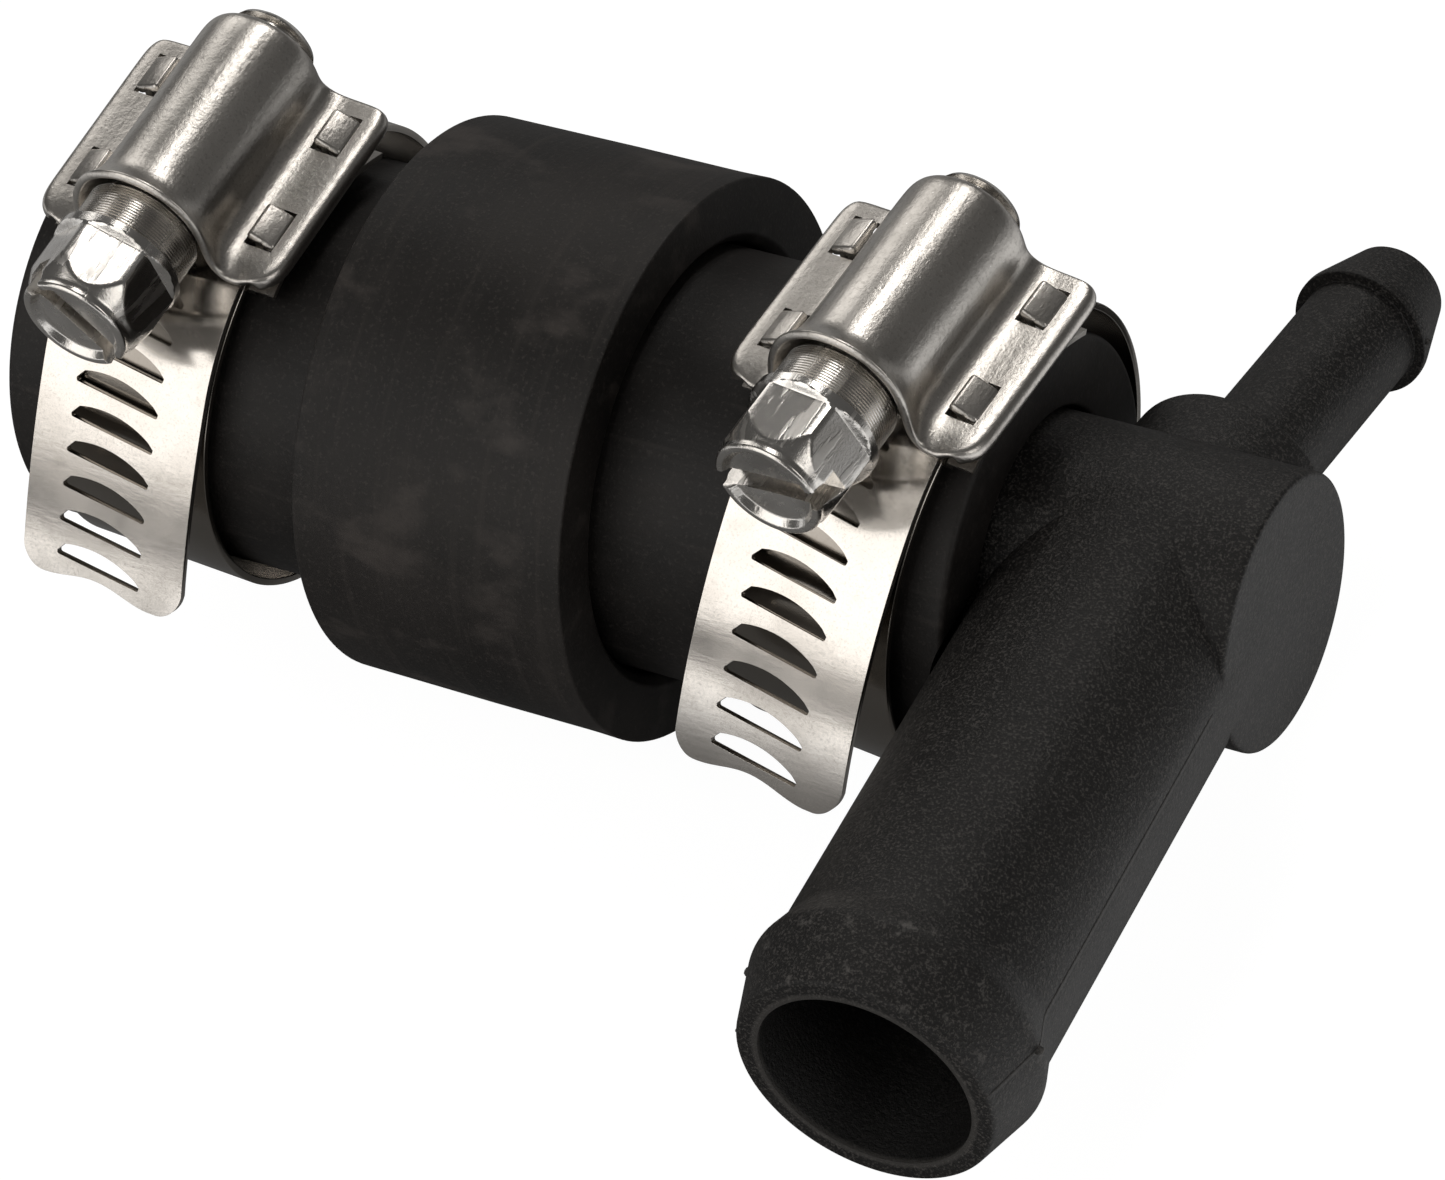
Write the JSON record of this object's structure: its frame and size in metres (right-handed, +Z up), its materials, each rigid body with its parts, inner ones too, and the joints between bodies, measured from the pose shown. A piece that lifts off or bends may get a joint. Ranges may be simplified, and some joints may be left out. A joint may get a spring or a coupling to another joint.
{
  "type": "pipe coupling",
  "caption": "Rubber hose coupling with a thick collar, worm-drive band clamps and a closed-end plastic fitting carrying a beaded branch and a barbed nipple.",
  "frame": {"origin": "centre of the sleeve's open end, on the sleeve's axis", "axes": "+X along the sleeve towards the closed-end fitting, -Y along the large branch, +Z up through the clamp housings"},
  "size_m": [0.09, 0.0798, 0.0441],
  "materials": {
    "sleeve_rubber": "smooth black hose rubber, faintly warm",
    "collar_rubber": "ground black rubber with faint rings",
    "filled_plastic": "fine-grained black filled plastic",
    "band_steel": "polished stainless strip",
    "housing_steel": "satin stainless pressing",
    "screw_steel": "bright turned steel"
  },
  "bodies": {
    "sleeve": {"hose_sleeve": "sleeve_rubber", "collar_ring": "collar_rubber", "branch_fitting": "filled_plastic"},
    "left_clamp": {"left_band_loop": "band_steel", "left_housing": "housing_steel", "left_saddle": "housing_steel"},
    "left_tail": {"left_band_tail": "band_steel"},
    "left_worm": {"left_screw": "screw_steel"},
    "right_clamp": {"right_band_loop": "band_steel", "right_housing": "housing_steel", "right_saddle": "housing_steel"},
    "right_tail": {"right_band_tail": "band_steel"},
    "right_worm": {"right_screw": "screw_steel"}
  },
  "joints": [
    {"name": "left_clamp_turn", "type": "hinge", "parent": "sleeve", "child": "left_clamp", "pos_m": [0, 0, 0], "axis": [1, 0, 0], "continuous": true},
    {"name": "right_clamp_turn", "type": "hinge", "parent": "sleeve", "child": "right_clamp", "pos_m": [0, 0, 0], "axis": [1, 0, 0], "range_deg": [-140, 25]},
    {"name": "left_screw_turn", "type": "hinge", "parent": "left_clamp", "child": "left_worm", "pos_m": [0.01159, -0.00195, 0.01957], "axis": [0.0421, 0.9917, 0.1216], "range_deg": [-360, 720]},
    {"name": "right_screw_turn", "type": "hinge", "parent": "right_clamp", "child": "right_worm", "pos_m": [0.06352, -0.0013, 0.01972], "axis": [0.0905, 0.9932, 0.0732], "range_deg": [-360, 720]},
    {"name": "left_tail_feed", "type": "hinge", "parent": "left_clamp", "child": "left_tail", "pos_m": [0.0105, 0.00045, 0.00035], "axis": [0.9975, -0.0348, -0.061], "range_deg": [-8.9, 17.8]},
    {"name": "right_tail_feed", "type": "hinge", "parent": "right_clamp", "child": "right_tail", "pos_m": [0.0627, 0.0002, 0.0004], "axis": [0.995, -0.0871, -0.0489], "range_deg": [-8.9, 17.8]}
  ],
  "couplings": [
    {"joint": "left_tail_feed", "follows": "left_screw_turn", "ratio": 0.024352},
    {"joint": "right_tail_feed", "follows": "right_screw_turn", "ratio": 0.024352}
  ]
}
